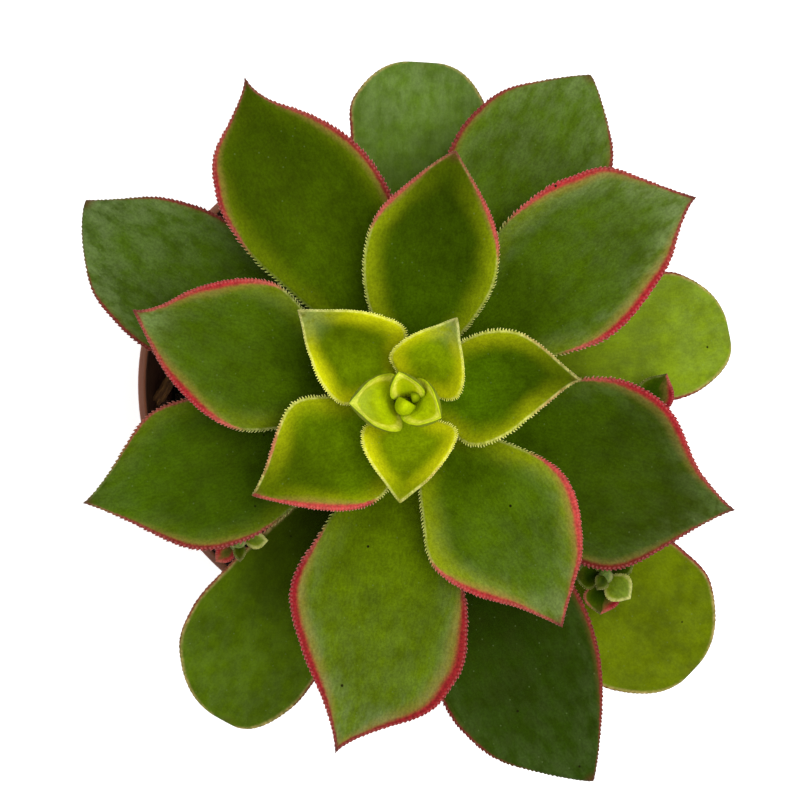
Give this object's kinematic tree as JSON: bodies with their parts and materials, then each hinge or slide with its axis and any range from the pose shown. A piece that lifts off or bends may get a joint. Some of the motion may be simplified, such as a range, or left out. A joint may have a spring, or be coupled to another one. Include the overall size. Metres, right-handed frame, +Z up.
{
  "type": "potted aeonium succulent",
  "caption": "Succulent rosette of spoon-shaped, finely toothed leaves with red margins on a woody stem with side shoots, standing in soil in a round plastic pot.",
  "frame": {"origin": "middle of the pot's underside, on the surface it stands on", "axes": "+Z up along the pot's axis; seen from above, +X is to the right and +Y is up the picture"},
  "size_m": [0.1297, 0.1442, 0.158],
  "materials": {
    "pot_plastic": "satin",
    "soil": "matte",
    "woody_stem": "matte",
    "leaf_old": "satin",
    "leaf_dull": "satin",
    "leaf_full": "satin",
    "leaf_upper": "satin",
    "leaf_inner": "satin",
    "leaf_young": "satin",
    "leaf_bud": "satin",
    "shoot": "satin"
  },
  "bodies": {
    "root": {"pot": "pot_plastic", "soil": "soil", "stem": "woody_stem", "leaf_g4": "leaf_old", "leaf_g3": "leaf_old", "leaf_g2": "leaf_old", "leaf_g1": "leaf_old", "leaf_f3": "leaf_dull", "leaf_f2": "leaf_dull", "leaf_f1": "leaf_dull", "leaf_e5": "leaf_full", "leaf_e4": "leaf_full", "leaf_e3": "leaf_full", "leaf_e2": "leaf_full", "leaf_e1": "leaf_full", "leaf_d5": "leaf_upper", "leaf_d4": "leaf_upper", "leaf_d3": "leaf_upper", "leaf_d2": "leaf_inner", "leaf_d1": "leaf_inner", "leaf_c3": "leaf_young", "leaf_c2": "leaf_young", "leaf_c1": "leaf_young", "leaf_b1": "leaf_bud", "leaf_b2": "leaf_bud", "heart": "leaf_bud", "shoot_right": "shoot", "shoot_lower_right": "shoot", "shoot_lower_left": "shoot"}
  },
  "joints": []
}
